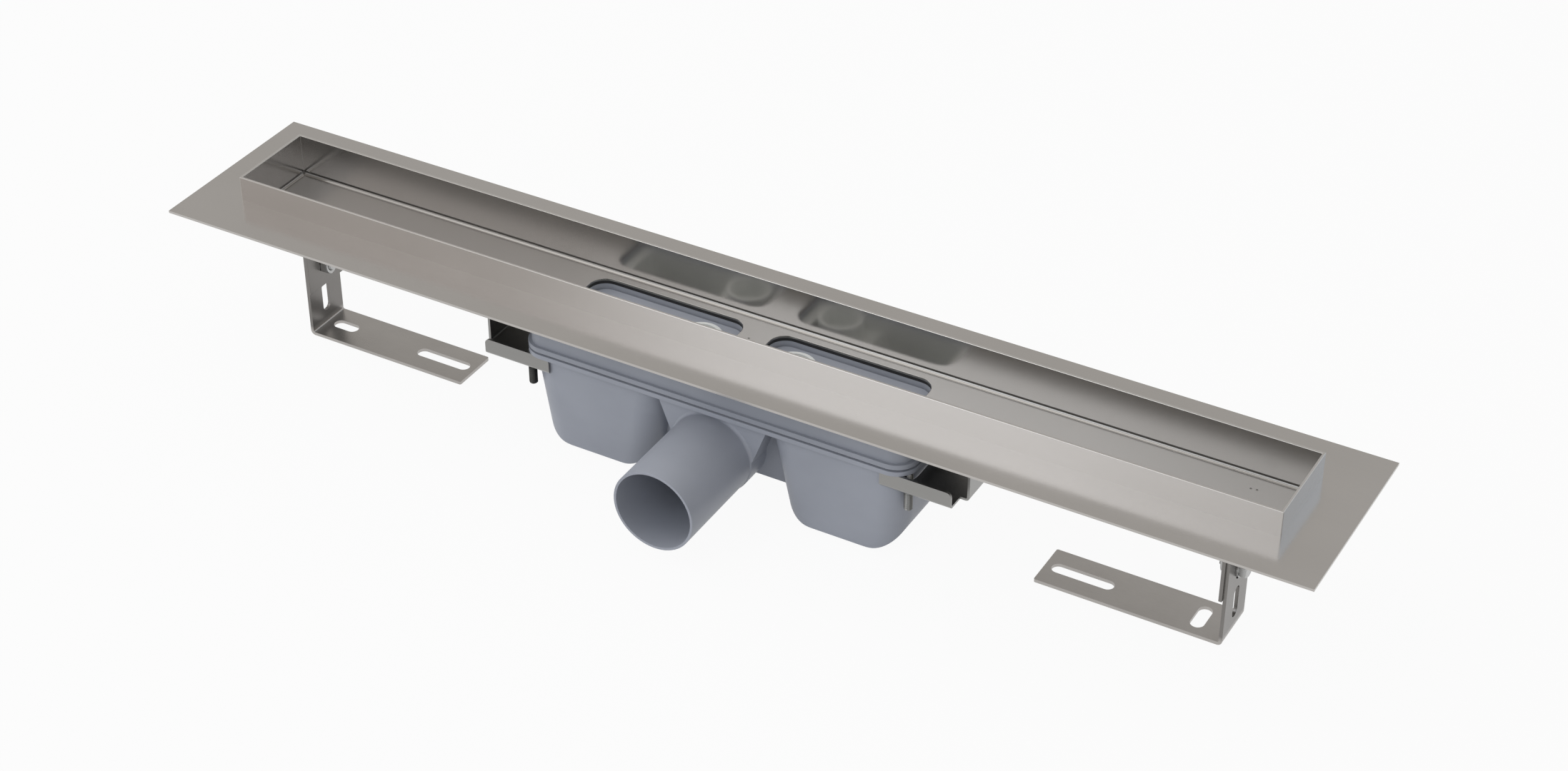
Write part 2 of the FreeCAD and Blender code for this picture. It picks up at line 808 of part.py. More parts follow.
def leg_bolt(side):
    """Hexagon-head bolt through a foot and its tab, head outwards."""
    head_base = vec(leg_outer + washer_thickness, 0, z_leg_bolt)
    head = hexagon(hex_across_flats, head_height, head_base, vec(1, 0, 0), vec(0, 0, 1))
    shank = chamfered_rod(thread_radius, leg_bolt_length, head_base, vec(-1, 0, 0))
    return mirrored(head.fuse(shank).removeSplitter(), side)


def leg_washer(side):
    return mirrored(washer(vec(leg_outer, 0, z_leg_bolt), vec(1, 0, 0)), side)


def leg_nut(side):
    base = vec(tab_outer - tab_sheet, 0, z_leg_bolt)
    return mirrored(hex_nut(base, vec(-1, 0, 0), vec(0, 0, 1)), side)


def write_parts():
    os.makedirs("parts", exist_ok=True)
    parts = {
        "channel_tray": channel_tray(),
        "flange_frame": flange_frame(),
        "tray_gasket": tray_gasket(),
        "trap_top_frame": trap_top_frame(),
        "trap_seam_seal": seam_seal(),
        "trap_body": trap_body(),
    }
    for name, side in (("left", -1), ("right", 1)):
        parts[name + "_trap_insert"] = trap_insert(side)
        parts[name + "_insert_seal"] = insert_seal(side)
        parts[name + "_trap_bracket"] = trap_bracket(side)
        parts[name + "_bracket_studs"] = bracket_studs(side)
        parts[name + "_bracket_washers"] = bracket_washers(side)
        parts[name + "_bracket_nuts"] = bracket_nuts(side)
        parts[name + "_press_screws"] = press_screws(side)
        parts[name + "_leg_tab"] = leg_tab(side)
        parts[name + "_foot"] = foot(side)
        parts[name + "_leg_bolt"] = leg_bolt(side)
        parts[name + "_leg_washer"] = leg_washer(side)
        parts[name + "_leg_nut"] = leg_nut(side)
    for name, shape in parts.items():
        shape.exportStep("parts/" + name + ".step")
        box = shape.BoundBox
        print(name, len(shape.Solids), shape.isValid(), round(shape.Volume, 1), box)


write_parts()
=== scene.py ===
import math

import bmesh
import bpy
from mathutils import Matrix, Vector


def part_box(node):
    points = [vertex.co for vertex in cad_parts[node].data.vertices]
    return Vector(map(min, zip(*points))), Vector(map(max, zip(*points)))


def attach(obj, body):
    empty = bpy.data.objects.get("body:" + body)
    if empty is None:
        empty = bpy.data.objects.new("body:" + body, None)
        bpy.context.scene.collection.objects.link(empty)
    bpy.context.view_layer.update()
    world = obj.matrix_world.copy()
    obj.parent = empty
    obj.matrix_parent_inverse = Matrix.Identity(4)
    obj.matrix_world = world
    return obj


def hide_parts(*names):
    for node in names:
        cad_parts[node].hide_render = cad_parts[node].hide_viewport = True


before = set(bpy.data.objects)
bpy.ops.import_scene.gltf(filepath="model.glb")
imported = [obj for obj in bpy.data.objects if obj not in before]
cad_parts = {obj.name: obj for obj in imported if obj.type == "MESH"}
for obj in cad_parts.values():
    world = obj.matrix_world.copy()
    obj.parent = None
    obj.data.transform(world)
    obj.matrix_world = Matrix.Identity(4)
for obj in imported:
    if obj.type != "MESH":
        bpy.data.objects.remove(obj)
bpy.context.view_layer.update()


# The camera stands where the photograph was taken from, in front of the right-hand end, and looks
# down along the channel. Its place and lens come from the corners of the flange and the feet.
camera_data = bpy.data.cameras.new("camera")
camera_data.sensor_width = 36
camera_data.lens = 68.12
camera_data.shift_x = -0.00385
camera_data.shift_y = -0.0019
camera = bpy.data.objects.new("camera", camera_data)
camera.location = (0.69388, -1.17292, 1.01254)
camera.rotation_euler = (math.radians(54.98), 0, math.radians(29.58))
bpy.context.scene.collection.objects.link(camera)
bpy.context.scene.camera = camera
bpy.context.scene.view_settings.view_transform = "Standard"


# The studio is a pale floor under an even grey room. It is white to the eye and to the metal,
# and it keeps part of the shadow that the drain throws on it.
FLOOR_HALF = 25
FLOOR_DROP = 0.0003
FLOOR_COLOUR = (0.55, 0.55, 0.55, 1)
FLOOR_WHITE_SHARE = 0.94
ROOM_COLOUR = (1.0, 0.98, 0.95, 1)
ROOM_LEVEL = 0.66


def shader_links(nodes, *pairs):
    """Links the outputs and inputs of a node tree, given in pairs."""
    for output, entry in pairs:
        nodes.id_data.links.new(output, entry)


floor_mesh = bpy.data.meshes.new("studio_floor")
corner_signs = ((-1, -1), (1, -1), (1, 1), (-1, 1))
floor_corners = [(x * FLOOR_HALF, y * FLOOR_HALF, -FLOOR_DROP) for x, y in corner_signs]
floor_mesh.from_pydata(floor_corners, [], [(0, 1, 2, 3)])
floor = bpy.data.objects.new("studio_floor", floor_mesh)
bpy.context.scene.collection.objects.link(floor)
floor_paint = bpy.data.materials.new("pale_floor")
floor_paint.use_nodes = True
nodes = floor_paint.node_tree.nodes
nodes.clear()
rays = nodes.new("ShaderNodeLightPath")
seen = nodes.new("ShaderNodeMath")
seen.operation = "MAXIMUM"
seen_or_clear = nodes.new("ShaderNodeMath")
seen_or_clear.operation = "MAXIMUM"
share = nodes.new("ShaderNodeMath")
share.operation = "MULTIPLY"
share.inputs[1].default_value = FLOOR_WHITE_SHARE
matt = nodes.new("ShaderNodeBsdfDiffuse")
matt.inputs["Color"].default_value = FLOOR_COLOUR
white = nodes.new("ShaderNodeEmission")
white.inputs["Color"].default_value = (1, 1, 1, 1)
white.inputs["Strength"].default_value = 1
mixed = nodes.new("ShaderNodeMixShader")
surface = nodes.new("ShaderNodeOutputMaterial")
shader_links(
    nodes,
    (rays.outputs["Is Camera Ray"], seen.inputs[0]),
    (rays.outputs["Is Glossy Ray"], seen.inputs[1]),
    (seen.outputs[0], seen_or_clear.inputs[0]),
    (rays.outputs["Is Transmission Ray"], seen_or_clear.inputs[1]),
    (seen_or_clear.outputs[0], share.inputs[0]),
    (share.outputs[0], mixed.inputs[0]),
    (matt.outputs[0], mixed.inputs[1]),
    (white.outputs[0], mixed.inputs[2]),
    (mixed.outputs[0], surface.inputs["Surface"]),
)
floor_mesh.materials.append(floor_paint)

room = bpy.data.worlds.new("room")
room.use_nodes = True
background = room.node_tree.nodes["Background"]
background.inputs["Color"].default_value = ROOM_COLOUR
background.inputs["Strength"].default_value = ROOM_LEVEL
bpy.context.scene.world = room


# Soft lamps stand round the drain. The four in front show in the channel's walls and floor, the
# two on the left shape the plastic, and a cool one behind shows in the right end wall.
LAMPS = {
    "front_lamp": {"azimuth": -24.8, "elevation": 29, "away": 2.4, "size": (0.67, 1.84), "level": 2.2,
                   "colour": (0.88, 0.93, 1.0)},
    "front_edge_lamp": {"azimuth": -8.4, "elevation": 29, "away": 2.4, "size": (0.42, 1.84), "level": 1.55,
                        "colour": (0.88, 0.93, 1.0)},
    "front_left_lamp": {"azimuth": -47, "elevation": 29, "away": 2.4, "size": (0.88, 1.84), "level": 0.48,
                        "colour": (1.0, 0.94, 0.95)},
    "front_right_lamp": {"azimuth": 41, "elevation": 30.5, "away": 2.4, "size": (1.1, 0.9), "level": 1.5,
                         "colour": (0.83, 0.89, 1.0)},
    "upper_left_lamp": {"azimuth": -60, "elevation": 64, "away": 2.2, "size": (1.2, 1.2), "level": 1.1,
                        "colour": (1.0, 1.0, 1.0)},
    "low_left_lamp": {"azimuth": -85, "elevation": 24, "away": 2.4, "size": (1.5, 1.2), "level": 1.6,
                      "colour": (1.0, 1.0, 1.0)},
    "back_right_lamp": {"azimuth": 163, "elevation": 37, "away": 2.4, "size": (0.9, 0.8), "level": 0.88,
                        "colour": (0.61, 0.78, 1.0)},
}
LAMP_TARGET = Vector((0, 0, 0.07))
for name, lamp in LAMPS.items():
    light = bpy.data.lights.new(name, "AREA")
    light.shape = "RECTANGLE"
    light.size, light.size_y = lamp["size"]
    light.energy = lamp["level"] * math.pi * light.size * light.size_y
    light.color = lamp["colour"]
    azimuth = math.radians(lamp["azimuth"])
    elevation = math.radians(lamp["elevation"])
    direction = Vector((
        math.sin(azimuth) * math.cos(elevation),
        -math.cos(azimuth) * math.cos(elevation),
        math.sin(elevation),
    ))
    holder = bpy.data.objects.new(name, light)
    holder.location = LAMP_TARGET + direction * lamp["away"]
    holder.rotation_euler = direction.to_track_quat("Z", "Y").to_euler()
    holder.visible_camera = False
    bpy.context.scene.collection.objects.link(holder)


# The channel is folded from one sheet of satin stainless steel. Rolling leaves fine streaks along
# the sheet, a faint cloudiness and a soft haze over its shine. The floor is painted darker than the
# walls, as painted shade, and the sheared edges are eased by hand.
SHEET = 0.0015
SHEET_DARK = (0.458, 0.44, 0.418, 1)
SHEET_LIGHT = (0.495, 0.475, 0.454, 1)
SHEET_STREAKS = (70, 2600, 2600)
SHEET_ROUGHNESS = (0.15, 0.2)
SHEET_RELIEF = 0.0000008
SHEET_HAZE = 0.8
HAZE_ROUGHNESS = 0.45
HAZE_IOR = 2.0
CLOUD_SHARE = 0.65
FLOOR_PAINTED_SHADE = (0.63, 0.63, 0.63, 1)
FLOOR_SHADE_FULL = 0.0001
FLOOR_SHADE_END = 0.0005
CUT_EDGE_EASE = 0.0003
EASED_ANGLE = 35
SPLIT_GAP = 0.000002
tray_low, tray_high = (Vector(corner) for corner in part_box("channel_tray"))
inside = Vector((tray_high.x - SHEET, tray_high.y - SHEET, tray_low.z + SHEET))


def ramp(nodes, low_colour, high_colour, low_at=0.3, high_at=0.7):
    """A colour ramp between two colours."""
    node = nodes.new("ShaderNodeValToRGB")
    first, last = node.color_ramp.elements
    first.position = low_at
    first.color = low_colour
    last.position = high_at
    last.color = high_colour
    return node


def stretched_noise(nodes, place, per_metre, detail=4.0, rough=0.55):
    """Noise with its own count of grains a metre along each axis."""
    mapping = nodes.new("ShaderNodeMapping")
    mapping.inputs["Scale"].default_value = per_metre
    noise = nodes.new("ShaderNodeTexNoise")
    noise.inputs["Scale"].default_value = 1.0
    noise.inputs["Detail"].default_value = detail
    noise.inputs["Roughness"].default_value = rough
    shader_links(
        nodes,
        (place, mapping.inputs["Vector"]),
        (mapping.outputs["Vector"], noise.inputs["Vector"]),
    )
    return noise.outputs["Fac"]


def spread(nodes, value, low, high):
    """Maps a noise value, mostly 0.3 to 0.7, onto a range."""
    node = nodes.new("ShaderNodeMapRange")
    node.inputs["From Min"].default_value = 0.3
    node.inputs["From Max"].default_value = 0.7
    node.inputs["To Min"].default_value = low
    node.inputs["To Max"].default_value = high
    shader_links(nodes, (value, node.inputs["Value"]))
    return node.outputs["Result"]


def fresh_finish(name):
    """An empty material, with its nodes, its shader and the place on the piece in metres."""
    finish = bpy.data.materials.new(name)
    finish.use_nodes = True
    nodes = finish.node_tree.nodes
    nodes.clear()
    shader = nodes.new("ShaderNodeBsdfPrincipled")
    output = nodes.new("ShaderNodeOutputMaterial")
    place = nodes.new("ShaderNodeTexCoord").outputs["Object"]
    shader_links(nodes, (shader.outputs["BSDF"], output.inputs["Surface"]))
    return finish, nodes, shader, place


def raise_surface(nodes, shader, height, depth):
    """Fine relief, whose depth is in metres."""
    bump = nodes.new("ShaderNodeBump")
    bump.inputs["Distance"].default_value = depth
    shader_links(nodes, (height, bump.inputs["Height"]), (bump.outputs["Normal"], shader.inputs["Normal"]))


def worked_steel(
    name, dark, light, streaks, roughness, relief, clouds_per_metre=(9, 16, 16), painted_shade=None, haze=0.0
):
    """Bare steel, with streaks along the axis that has the fewest grains a metre.

    Painted shade is given as a colour that the steel is multiplied by, and the heights where that starts
    and is full.
    Haze is the share of a wide soft sheen, which lies over the sharper one.
    """
    finish, nodes, shader, place = fresh_finish(name)
    clouds = stretched_noise(nodes, place, clouds_per_metre, detail=3.0)
    grain = stretched_noise(nodes, place, streaks, detail=5.0, rough=0.65)
    colour = ramp(nodes, dark, light)
    cloud_part = nodes.new("ShaderNodeMath")
    cloud_part.operation = "MULTIPLY"
    cloud_part.inputs[1].default_value = CLOUD_SHARE
    both = nodes.new("ShaderNodeMath")
    both.operation = "MULTIPLY_ADD"
    both.inputs[1].default_value = 1 - CLOUD_SHARE
    shader_links(
        nodes,
        (clouds, cloud_part.inputs[0]),
        (grain, both.inputs[0]),
        (cloud_part.outputs[0], both.inputs[2]),
        (both.outputs[0], colour.inputs["Fac"]),
        (colour.outputs["Color"], shader.inputs["Base Color"]),
        (spread(nodes, both.outputs[0], *roughness), shader.inputs["Roughness"]),
    )
    # The steel is painted darker between these heights, as painted shade.
    if painted_shade:
        tone, start, full = painted_shade
        apart = nodes.new("ShaderNodeSeparateXYZ")
        height = nodes.new("ShaderNodeMapRange")
        height.inputs["From Min"].default_value = start
        height.inputs["From Max"].default_value = full
        shade_mix = nodes.new("ShaderNodeMix")
        shade_mix.data_type = "RGBA"
        shade_mix.blend_type = "MULTIPLY"
        shade_mix.inputs["B"].default_value = tone
        shader_links(
            nodes,
            (place, apart.inputs["Vector"]),
            (apart.outputs["Z"], height.inputs["Value"]),
            (height.outputs["Result"], shade_mix.inputs["Factor"]),
            (colour.outputs["Color"], shade_mix.inputs["A"]),
            (shade_mix.outputs["Result"], shader.inputs["Base Color"]),
        )
    shader.inputs["Metallic"].default_value = 1.0
    shader.inputs["Coat Weight"].default_value = haze
    shader.inputs["Coat Roughness"].default_value = HAZE_ROUGHNESS
    shader.inputs["Coat IOR"].default_value = HAZE_IOR
    raise_surface(nodes, shader, grain, relief)
    return finish


def dress(node_name, finish, ease=0.0, segments=2):
    """Gives a CAD piece its finish, and eases its sharp edges where a radius is given."""
    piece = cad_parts[node_name]
    if not piece.material_slots:
        piece.data.materials.append(finish)
    for entry in piece.material_slots:
        entry.material = finish
    if ease:
        joined = piece.modifiers.new("joined_corners", "WELD")
        joined.merge_threshold = SPLIT_GAP
        eased = piece.modifiers.new("eased_edges", "BEVEL")
        eased.width = ease
        eased.segments = segments
        eased.limit_method = "ANGLE"
        eased.angle_limit = math.radians(EASED_ANGLE)
        shaded = piece.modifiers.new("clean_shading", "WEIGHTED_NORMAL")
        shaded.weight = 100


# The channel's floor is painted darker than its walls, as painted shade.
sheet_steel = worked_steel(
    "satin_sheet_steel", SHEET_DARK, SHEET_LIGHT, SHEET_STREAKS, SHEET_ROUGHNESS, SHEET_RELIEF,
    painted_shade=(FLOOR_PAINTED_SHADE, inside.z + FLOOR_SHADE_END, inside.z + FLOOR_SHADE_FULL), haze=SHEET_HAZE
)
dress("channel_tray", sheet_steel, CUT_EDGE_EASE, 3)


# The channel's floor turns up into its four walls in small hollow folds of the same sheet. A fold
# shows as a bright line with a dark one above it. The folds' steel is painted darker than the sheet's,
# and the dark line is painted shade on the fold's upper part.
FOLD_RADIUS = 0.0023
FOLD_DEPTH = 0.0002
FOLD_STEPS = 12
FOLD_DARK = (0.368, 0.356, 0.34, 1)
FOLD_LIGHT = (0.405, 0.391, 0.375, 1)
FOLD_PAINTED_SHADE = (0.58, 0.58, 0.58, 1)
FOLD_SHADE_START = 0.0001
FOLD_SHADE_FULL = 0.0009
POINT_GAP = 0.0000004


def sweep_section(shape, stations):
    """Skins a closed form through a list of sections that have as many points each."""
    rows = [[shape.verts.new(point) for point in section] for section in stations]
    count = len(rows[0])
    for here, there in zip(rows, rows[1:]):
        for index in range(count):
            following = (index + 1) % count
            shape.faces.new((here[index], here[following], there[following], there[index]))
    shape.faces.new(rows[0][::-1])
    shape.faces.new(rows[-1])


def finished_piece(name, shape, finish, replaced=None, smooth_under=40):
    """Turns a mesh under construction into a piece of the drain."""
    bmesh.ops.remove_doubles(shape, verts=shape.verts, dist=POINT_GAP)
    bmesh.ops.recalc_face_normals(shape, faces=shape.faces)
    for edge in shape.edges:
        edge.smooth = len(edge.link_faces) == 2 and edge.calc_face_angle(0) < math.radians(smooth_under)
    for face in shape.faces:
        face.smooth = True
    mesh = bpy.data.meshes.new(name)
    shape.to_mesh(mesh)
    shape.free()
    mesh.materials.append(finish)
    piece = bpy.data.objects.new(name, mesh)
    bpy.context.scene.collection.objects.link(piece)
    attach(piece, "root")
    if replaced:
        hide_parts(replaced)
    return piece


def fold_section(corner, inward):
    """Section of a hollow fold. Its back is let into the sheet."""
    section = []
    for step in range(FOLD_STEPS + 1):
        angle = math.radians(90 * step / FOLD_STEPS)
        reach = (1 - math.sin(angle)) * FOLD_RADIUS
        section.append(corner + inward * reach + Vector((0, 0, (1 - math.cos(angle)) * FOLD_RADIUS)))
    below = Vector((0, 0, -FOLD_DEPTH))
    section.append(corner - inward * FOLD_DEPTH + Vector((0, 0, FOLD_RADIUS)))
    section.append(corner - inward * FOLD_DEPTH + below)
    section.append(corner + inward * FOLD_RADIUS + below)
    return section


folds = bmesh.new()
for sign in (-1, 1):
    long_ends = [Vector((x, sign * inside.y, inside.z)) for x in (-inside.x, inside.x)]
    sweep_section(folds, [fold_section(end, Vector((0, -sign, 0))) for end in long_ends])
    short_ends = [Vector((sign * inside.x, y, inside.z)) for y in (-inside.y, inside.y)]
    sweep_section(folds, [fold_section(end, Vector((-sign, 0, 0))) for end in short_ends])
# The folds are a darker copy of the sheet's steel, with painted shade on their upper part.
fold_steel = worked_steel(
    "folded_steel_painted_shade", FOLD_DARK, FOLD_LIGHT, SHEET_STREAKS, SHEET_ROUGHNESS, SHEET_RELIEF,
    painted_shade=(FOLD_PAINTED_SHADE, inside.z + FOLD_SHADE_START, inside.z + FOLD_SHADE_FULL)
)
finished_piece("channel_folds", folds, fold_steel)


# Spot welding leaves two small prints in the channel's floor near its right-hand end, and a third
# mark stands between the slots. Each is a shallow ring that is darker than the sheet.
PRINT_RADIUS = 0.0006
PRINT_HEIGHT = 0.00012
PRINT_COLUMNS = 20
PRINT_PLACES = ((0.2947, 0.015), (0.298, 0.0155), (-0.002, 0.0065))
PRINT_DARK = (0.03, 0.03, 0.03, 1)
PRINT_LIGHT = (0.08, 0.075, 0.07, 1)
PRINT_GRAINS = (3000, 3000, 3000)


def go_round(shape, base, axis, start, columns, outline_at):
    """Adds a closed form round an axis. The outline gives radius and height at an angle from start."""
    across = Vector(axis).cross(Vector(start))
    rings = []
    for column in range(columns):
        angle = math.tau * column / columns
        outward = Vector(start) * math.cos(angle) + across * math.sin(angle)
        rings.append([
            shape.verts.new(Vector(base) + outward * radius + Vector(axis) * height)
            for radius, height in outline_at(angle)
        ])
    for column, here in enumerate(rings):
        there = rings[(column + 1) % columns]
        for row in range(len(here) - 1):
            shape.faces.new((here[row], there[row], there[row + 1], here[row + 1]))


def print_outline(angle):
    """A low ring with a dish in the middle, the same at every angle."""
    return (
        (0, -PRINT_HEIGHT), (PRINT_RADIUS, -PRINT_HEIGHT), (PRINT_RADIUS, 0),
        (PRINT_RADIUS * 0.75, PRINT_HEIGHT), (PRINT_RADIUS * 0.4, 0), (0, -PRINT_HEIGHT * 0.4),
    )


spot_steel = worked_steel(
    "spot_weld_steel", PRINT_DARK, PRINT_LIGHT, PRINT_GRAINS, roughness=(0.3, 0.45), relief=0.00001
)
prints = bmesh.new()
for x, y in PRINT_PLACES:
    go_round(prints, (x, y, inside.z), (0, 0, 1), (1, 0, 0), PRINT_COLUMNS, print_outline)
finished_piece("floor_spot_prints", prints, spot_steel)


# The flange is cut from the same sheet and fitted round the channel. Short runs of weld along its
# underside hold it to the channel's walls, so that nothing of them shows from above.
FLANGE_DARK = (0.46, 0.442, 0.423, 1)
FLANGE_LIGHT = (0.495, 0.475, 0.455, 1)
SIDE_RUN_PLACES = (-0.3, -0.18, -0.06, 0.06, 0.18, 0.3)
RUN_LENGTH = 0.022
RUN_LEG = 0.0019
RUN_STEPS = 88
RUN_ARC_STEPS = 6
RUN_END_SLOPE = 4
RUN_END_SHARE = 0.02
RIPPLE_PITCH = 0.0011
RIPPLE_DEPTH = 0.13
BEAD_HOLLOW = 0.28
BEAD_DARK = (0.3, 0.24, 0.19, 1)
BEAD_LIGHT = (0.5, 0.48, 0.45, 1)
BEAD_GRAINS = (600, 600, 600)
BEAD_CLOUDS = (160, 160, 160)


def weld_run(shape, centre, along, out, down, length):
    """Adds a rippled bead in the corner between two faces, which go out and down from the centre."""
    stations = []
    for step in range(RUN_STEPS + 1):
        share_along = step / RUN_STEPS
        place = Vector(centre) + Vector(along) * (length * (share_along - 0.5))
        swell = min(1, RUN_END_SLOPE * math.sqrt(share_along * (1 - share_along)) + RUN_END_SHARE)
        ripple = 1 - RIPPLE_DEPTH * abs(math.sin(math.pi * length * share_along / RIPPLE_PITCH))
        leg = RUN_LEG * swell * ripple
        section = [place]
        for arc_step in range(RUN_ARC_STEPS + 1):
            angle = math.radians(90 * arc_step / RUN_ARC_STEPS)
            reach = leg * (1 - BEAD_HOLLOW + BEAD_HOLLOW * abs(math.cos(2 * angle)))
            aside = Vector(out) * (reach * math.cos(angle))
            section.append(place + aside + Vector(down) * (reach * math.sin(angle)))
        stations.append(section)
    sweep_section(shape, stations)


flange_steel = worked_steel(
    "flange_sheet_steel", FLANGE_DARK, FLANGE_LIGHT, SHEET_STREAKS, roughness=(0.15, 0.21), relief=0.0000015
)
dress("flange_frame", flange_steel)
weld_steel = worked_steel(
    "weld_bead_steel", BEAD_DARK, BEAD_LIGHT, BEAD_GRAINS, roughness=(0.25, 0.42), relief=0.00002,
    clouds_per_metre=BEAD_CLOUDS
)
under_flange = Vector(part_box("flange_frame")[0]).z
runs = bmesh.new()
for sign in (-1, 1):
    for x in SIDE_RUN_PLACES:
        side_corner = (x, sign * tray_high.y, under_flange)
        weld_run(runs, side_corner, (1, 0, 0), (0, sign, 0), (0, 0, -1), RUN_LENGTH)
for sign in (-1, 1):
    end_corner = (sign * tray_high.x, 0, under_flange)
    weld_run(runs, end_corner, (0, 1, 0), (sign, 0, 0), (0, 0, -1), RUN_LENGTH)
finished_piece("flange_weld_runs", runs, weld_steel)


# The gasket is die-cut from black rubber sheet and squeezed between the channel and the trap. The
# inserts' seals are moulded from the same rubber.
RUBBER_DARK = (0.01, 0.01, 0.011, 1)
RUBBER_LIGHT = (0.028, 0.028, 0.03, 1)
RUBBER_GRAINS = (1400, 1400, 1400)
RUBBER_ROUGHNESS = (0.55, 0.75)
RUBBER_RELIEF = 0.00004


def moulded_rubber(name, dark, light):
    """Matt rubber with a fine grain."""
    finish, nodes, shader, place = fresh_finish(name)
    grain = stretched_noise(nodes, place, RUBBER_GRAINS, detail=3.0)
    colour = ramp(nodes, dark, light)
    shader_links(
        nodes,
        (grain, colour.inputs["Fac"]),
        (colour.outputs["Color"], shader.inputs["Base Color"]),
        (spread(nodes, grain, *RUBBER_ROUGHNESS), shader.inputs["Roughness"]),
    )
    raise_surface(nodes, shader, grain, RUBBER_RELIEF)
    return finish


rubber = moulded_rubber("black_rubber", RUBBER_DARK, RUBBER_LIGHT)
dress("tray_gasket", rubber)


# The dip inserts are moulded from blue-grey polypropylene. Their bowl is painted paler, as painted
# light in the shaded slot. Each lifts out of its well by a ring that stands in its bowl, and a rubber
# seal goes round it.
INSERT_DARK = (0.35, 0.37, 0.42, 1)
INSERT_LIGHT = (0.39, 0.41, 0.46, 1)
BOWL_PAINTED_LIGHT_LOW = (0.72, 0.74, 0.73, 1)
BOWL_PAINTED_LIGHT_HIGH = (0.77, 0.79, 0.78, 1)
BOWL_PAINTED_LIGHT_REACH = 0.0135
INSERT_EASE = 0.0004
FLOW_CLOUDS = (18, 18, 26)
MOULD_GRAINS = (1900, 1900, 1900)
MOULD_RELIEF = 0.000015


def moulded_plastic(name, dark, light, roughness, inner=None):
    """Polypropylene with the fine satin texture of its mould, and a faint flow cloudiness.

    Inner gives two paler tones, and how far from the drain's middle plane they reach. On the inserts
    these paler tones are painted light.
    """
    finish, nodes, shader, place = fresh_finish(name)
    clouds = stretched_noise(nodes, place, FLOW_CLOUDS, detail=3.0)
    texture = stretched_noise(nodes, place, MOULD_GRAINS, detail=2.0)
    colour = ramp(nodes, dark, light)
    shader_links(
        nodes,
        (clouds, colour.inputs["Fac"]),
        (colour.outputs["Color"], shader.inputs["Base Color"]),
        (spread(nodes, texture, *roughness), shader.inputs["Roughness"]),
    )
    if inner:
        inner_dark, inner_light, reach = inner
        inner_colour = ramp(nodes, inner_dark, inner_light)
        apart = nodes.new("ShaderNodeSeparateXYZ")
        aside = nodes.new("ShaderNodeMath")
        aside.operation = "ABSOLUTE"
        within = nodes.new("ShaderNodeMath")
        within.operation = "LESS_THAN"
        within.inputs[1].default_value = reach
        toned = nodes.new("ShaderNodeMix")
        toned.data_type = "RGBA"
        shader_links(
            nodes,
            (place, apart.inputs["Vector"]),
            (apart.outputs["Y"], aside.inputs[0]),
            (aside.outputs[0], within.inputs[0]),
            (clouds, inner_colour.inputs["Fac"]),
            (within.outputs[0], toned.inputs["Factor"]),
            (colour.outputs["Color"], toned.inputs["A"]),
            (inner_colour.outputs["Color"], toned.inputs["B"]),
            (toned.outputs["Result"], shader.inputs["Base Color"]),
        )
    shader.inputs["Specular IOR Level"].default_value = 0.45
    raise_surface(nodes, shader, texture, MOULD_RELIEF)
    return finish


# The inserts' bowls are painted paler, as painted light.
insert_plastic = moulded_plastic(
    "insert_plastic_painted_light", INSERT_DARK, INSERT_LIGHT, (0.3, 0.42), inner=(BOWL_PAINTED_LIGHT_LOW, BOWL_PAINTED_LIGHT_HIGH, BOWL_PAINTED_LIGHT_REACH)
)
for side in ("left", "right"):
    dress(side + "_trap_insert", insert_plastic, INSERT_EASE)
    dress(side + "_insert_seal", rubber)


# The trap's two mouldings are blue-grey polypropylene. The upper one is painted a little darker
# outside its wells, as shade under the flange, and takes the inserts' tone in them. The cups, the
# outlet chamber and the pipe are one moulding. A dark grey strip lies in the groove between the two.
TRAP_DARK = (0.31, 0.328, 0.375, 1)
TRAP_LIGHT = (0.35, 0.37, 0.42, 1)
TRAP_ROUGHNESS = (0.38, 0.5)
TRAP_EASE = 0.0005
SHADED_FRAME_DARK = (0.272, 0.289, 0.33, 1)
SHADED_FRAME_LIGHT = (0.308, 0.326, 0.37, 1)
WELL_REACH = 0.024
SEAM_DARK = (0.07, 0.075, 0.085, 1)
SEAM_LIGHT = (0.12, 0.127, 0.14, 1)
trap_plastic = moulded_plastic("blue_grey_plastic", TRAP_DARK, TRAP_LIGHT, TRAP_ROUGHNESS)
# The frame's darker tone outside its wells is painted shade.
frame_plastic_painted_shade = moulded_plastic(
    "frame_plastic_painted_shade", SHADED_FRAME_DARK, SHADED_FRAME_LIGHT, TRAP_ROUGHNESS, inner=(INSERT_DARK, INSERT_LIGHT, WELL_REACH)
)
dress("trap_top_frame", frame_plastic_painted_shade, TRAP_EASE)
# The strip in the groove is given a dark grey tone.
dress("trap_seam_seal", moulded_rubber("dark_grey_seam_strip", SEAM_DARK, SEAM_LIGHT))
dress("trap_body", trap_plastic, TRAP_EASE)


# Each cup was filled through a gate in the middle of its floor. A shallow round pad is left there,
# with the trimmed stub of the runner on it.
GATE_PAD_RADIUS = 0.0045
GATE_PAD_HEIGHT = 0.0005
GATE_PAD_EASE = 0.0003
GATE_STUB_RADIUS = 0.0013
GATE_STUB_HEIGHT = 0.0013
GATE_STUB_FILLET = 0.0004
GATE_SLANT = 0.15
GATE_DEPTH = 0.0002
GATE_COLUMNS = 32
CUP_MIDDLE = 0.079


